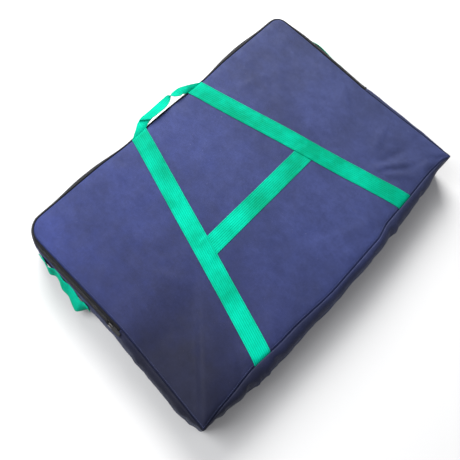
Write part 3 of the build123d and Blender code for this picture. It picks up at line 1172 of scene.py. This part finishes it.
for side, word in ((-1, "left"), (1, "right")):
    rungs = mirrored(leg_rungs(side, leg_rows))
    leg = band(f"back_leg_{word}_webbing", rungs, settle=on_back, thickness=WEBBING * 0.98)
    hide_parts(f"back_leg_{word}")
    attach(leg, "bag")
back_bar_rungs = mirrored(bar_rungs(bar_reach))
back_bar = band("back_crossbar_webbing", back_bar_rungs, settle=on_back, thickness=WEBBING * 0.9)
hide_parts("back_crossbar")
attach(back_bar, "bag")


# Carry handles: the legs' webbing runs on over the edge, narrows as it folds, and makes a doubled grip


def leg_end(side, edge):
    x = side * (leg_x(LEG_JOIN_Y) + edge * LEG_HALF)
    return lay(x, LEG_JOIN_Y)


def turned(rungs):
    """Adds each rung's up, square to the rung and to the way that the strap runs."""
    made = []
    for i, (a, b) in enumerate(rungs):
        before, after = rungs[max(0, i - 1)], rungs[min(len(rungs) - 1, i + 1)]
        run = (after[0] + after[1] - before[0] - before[1]).normalized()
        up = (b - a).cross(run).normalized()
        if made and up.dot(made[-1][2]) < 0:
            up = -up
        if not made and up.z < 0:
            up = -up
        made.append((a, b, up))
    return made


def front_leg_end(side, edge):
    over = front_lean(side, FRONT_JOIN_Y)
    return (*lay(side * (leg_x(FRONT_JOIN_Y) + edge * LEG_HALF) + over, FRONT_JOIN_Y), None)


# The front handle lies folded in two lengths: from the left leg up under the grip, and the grip itself,
# which turns over once before the right leg. Each rung has two edge points, whose last value is the
# height above the face, or None on the cloth. The tables are in millimetres.
turn_rungs = (
    (front_leg_end(-1, 1), front_leg_end(-1, -1)),
    *metres((
        ((-100, 329, 1.4), (-56, 323.5, 2.6)),
        ((-83, 340.5, 1), (-46, 325, 4.4)),
        ((-68, 346.2, 1), (-37, 326.5, 5)),
        ((-48, 347.5, 1), (-26, 329, 4.6)),
        ((-28, 348, 1), (-13, 332, 4)),
    )),
)
grip_rungs = (
    *metres((
        ((-71.5, 344.2, 3), (-48.5, 325, 6)),
        ((-71.8, 344.3, 5.6), (-48.7, 324.8, 8.8)),
        ((-60, 346.5, 5.6), (-34.5, 323.6, 10)),
        ((-32.8, 347.5, 5), (-18, 323.4, 10)),
        ((1.2, 350, 4.4), (2, 324, 9.6)),
        ((20, 350.5, 5.6), (18, 327.5, 8.4)),
        ((35, 349, 8.6), (33, 335.5, 5)),
        ((43, 336, 10), (44, 346.5, 2.4)),
        ((52, 328.5, 9.2), (55, 349, 3)),
        ((61.5, 324.5, 8), (72, 347.5, 5.2)),
        ((69, 325, 6.4), (90, 341, 6)),
        ((74.5, 323, 3.6), (107, 334, 5)),
    )),
    (front_leg_end(1, -1), front_leg_end(1, 1)),
)


def strap_through(rungs):
    lines = []
    for k in (0, 1):
        edge = []
        for x, y, rise in (rung[k] for rung in rungs):
            edge.append((x, y, (strap_ground(x, y) if rise is None else FACE_Z + rise) + WEBBING / 2))
        lines.append([Vector(p) for p in through(edge, 6)])
    return turned(list(zip(*lines)))


for name, rungs in (("front_handle_turn", turn_rungs), ("front_handle_grip", grip_rungs)):
    strap = band(name, strap_through(rungs), both=True)
    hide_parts("front_handle")
    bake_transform(strap)

back_grip = (
    (leg_end(-1, 1), leg_end(-1, -1)),
    *metres((
        ((-127, 312), (-80, 314)),
        ((-106, 324), (-70, 318)),
        ((-82, 339), (-60, 320)),
        ((-60, 346), (-48, 321.5)),
        ((-30, 348), (-25, 324)),
        ((0, 349.5), (0, 325)),
        ((30, 350), (25, 325.8)),
        ((60, 349), (48, 325)),
        ((85, 342), (62, 324)),
        ((108, 331), (72, 323)),
        ((128, 319), (81.5, 319)),
    )),
    (leg_end(1, 1), leg_end(1, -1)),
)
lines = [through([rung[k] for rung in back_grip], 5) for k in (0, 1)]
back_strap = [(Vector((*b, WEBBING)), Vector((*a, WEBBING)), DOWN) for a, b in zip(*lines)]
back_handle = band("back_handle_strap", back_strap)
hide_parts("back_handle")
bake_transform(back_handle)


# Grab handles on the two ends, each from its upper pad to its lower: (place along the handle, standing
# off the wall, tilt, droop)
END_LINES = {
    "left": (
        (0.00, 0.0006, 0.0, 0.0), (0.10, 0.0006, 0.0, 0.0), (0.17, 0.0060, 0.05, 0.001),
        (0.23, 0.0075, 0.10, 0.002), (0.29, 0.0015, 0.10, 0.003), (0.36, 0.0010, 0.14, 0.004),
        (0.50, 0.0085, 0.26, 0.006),
        (0.62, 0.0060, 0.34, 0.007), (0.76, 0.0115, 0.44, 0.008), (0.85, 0.0135, 0.46, 0.007),
        (0.90, 0.0070, 0.30, 0.004), (0.945, 0.0006, 0.0, 0.0), (1.00, 0.0006, 0.0, 0.0),
    ),
    "right": (
        (0.00, 0.0006, 0.0, 0.0), (0.07, 0.0006, 0.0, 0.0), (0.15, 0.0090, 0.10, 0.001),
        (0.27, 0.0175, 0.20, 0.003), (0.45, 0.0180, 0.24, 0.005), (0.64, 0.0130, 0.20, 0.004),
        (0.80, 0.0090, 0.10, 0.002), (0.90, 0.0006, 0.0, 0.0), (1.00, 0.0006, 0.0, 0.0),
    ),
}


def end_rungs(side, upper):
    """Rungs of the upper or the lower half of an end handle."""
    word = "left" if side < 0 else "right"
    low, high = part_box(f"{word}_handle_pads")
    half = (high[2] - low[2]) / 2
    middle_z = (high[2] + low[2]) / 2
    numbers = []
    for share, off, tilt, droop in END_LINES[word]:
        y = high[1] + (low[1] - high[1]) * share
        numbers.append((y, wall_out(side, y) + off, tilt, droop))
    fine = through(numbers, 8)
    meet = min(range(len(fine)), key=lambda k: abs(fine[k][0] - (low[1] + high[1]) / 2))
    rungs = []
    for y, x, tilt, droop in fine[: meet + 1] if upper else fine[meet:]:
        centre = Vector((side * x, y, middle_z - droop))
        down = Vector((side * sin(tilt), 0, -cos(tilt)))
        face = Vector((side * cos(tilt), 0, sin(tilt)))
        edges = (centre - down * half, centre + down * half)
        rungs.append((*(edges[::-1] if side < 0 else edges), face))
    return rungs


def wall_out(side, y):
    """How far out the wall stands at that height up the bag, at the end handle's level."""
    best = 0.0
    for i in range(STATIONS):
        if side * seam[i].x > 0.4 and abs(seam[i].y - y) < 0.012:
            best = max(best, max(abs(p.x) for p in ring[i]))
    return best


for side, word in ((-1, "left"), (1, "right")):
    upper = band(f"{word}_end_handle_upper", end_rungs(side, True))
    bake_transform(upper)
    lower = band(f"{word}_end_handle_lower", end_rungs(side, False))
    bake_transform(lower)
    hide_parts(f"{word}_handle", f"{word}_handle_pads")

# Stitching along the face's edge

sewing_line = []
for i in range(STATIONS):
    point = seam[i] - normals[i] * EDGE_ROW
    sewing_line.append(Vector((point.x, point.y, cloth_height(point.x, point.y) + 0.0002)))
edge_seam = make("front_edge_stitching", *stitches(sewing_line + sewing_line[:1]), NAVY_THREAD, "cloth")
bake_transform(edge_seam)

# The slider and its pull keep their CAD shapes, with their edges rounded

for node, material, width in (
    ("zip_slider", SLIDER, 0.0004),
    ("pull_ring", RING, 0.0003),
    ("pull_tab", RUBBER, 0.0005),
):
    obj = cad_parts[node]
    obj.data.materials.clear()
    obj.data.materials.append(material)
    rounding = obj.modifiers.new("rounding", "BEVEL")
    rounding.width = width
    rounding.segments = 2
    rounding.limit_method = "ANGLE"

# Floor, light and camera

floor_mesh = bpy.data.meshes.new("floor")
FLOOR_HALF = 6.0
floor_corners = [(FLOOR_HALF * a, FLOOR_HALF * b, 0) for a, b in ((-1, -1), (1, -1), (1, 1), (-1, 1))]
floor_mesh.from_pydata(floor_corners, [], [(0, 1, 2, 3)])
floor = bpy.data.objects.new("floor", floor_mesh)
bpy.context.scene.collection.objects.link(floor)
floor_material, _, floor_shader = nodes_of("pale_floor")
floor_shader.inputs["Base Color"].default_value = (0.52, 0.52, 0.52, 1.0)
floor_shader.inputs["Roughness"].default_value = 0.9
floor_mesh.materials.append(floor_material)

world = bpy.data.worlds.new("studio")
bpy.context.scene.world = world
world.use_nodes = True
sky = world.node_tree.nodes["Background"]
sky.inputs["Strength"].default_value = 1.0
sky_tree = world.node_tree
sky_place = sky_tree.nodes.new("ShaderNodeTexCoord").outputs["Generated"]
sky_height = part_of(sky_tree, sky_place, "Z")
sky_shade = ramp(sky_tree, sky_height, (0.0, (0.26, 0.26, 0.27)), (0.8, (0.58, 0.58, 0.60)))
link(sky_tree, sky_shade, sky.inputs["Color"])


def area_light(name, place, target, size, power, colour):
    data = bpy.data.lights.new(name, "AREA")
    data.shape = "RECTANGLE"
    data.size, data.size_y = size
    data.energy = power
    data.color = colour
    obj = bpy.data.objects.new(name, data)
    bpy.context.scene.collection.objects.link(obj)
    obj.location = place
    obj.rotation_euler = (Vector(target) - Vector(place)).to_track_quat("-Z", "Y").to_euler()


area_light("key", (1.5, 2.5, 2.2), (0, 0, 0), (2.2, 2.2), 300, (1.0, 0.995, 0.985))
area_light("top", (-1.7, 1.5, 2.6), (0, 0, 0), (2.4, 2.0), 130, (0.98, 0.99, 1.0))

camera_data = bpy.data.cameras.new("camera")
camera_data.sensor_width = 36.0
camera_data.lens = 46.85
camera = bpy.data.objects.new("camera", camera_data)
bpy.context.scene.collection.objects.link(camera)

# The photo's viewing angle: the camera's own right and forward directions, and its place
right = Vector((0.7000, -0.7064, 0.1047)).normalized()
forward = Vector((0.3119, 0.1706, -0.9347)).normalized()
up = right.cross(forward).normalized()
camera.matrix_world = Matrix.Translation((-0.5843, -0.2950, 1.5250)) @ Matrix(
    ((right.x, up.x, -forward.x), (right.y, up.y, -forward.y), (right.z, up.z, -forward.z))
).to_4x4()
bpy.context.scene.camera = camera
bpy.context.scene.view_settings.view_transform = "Standard"
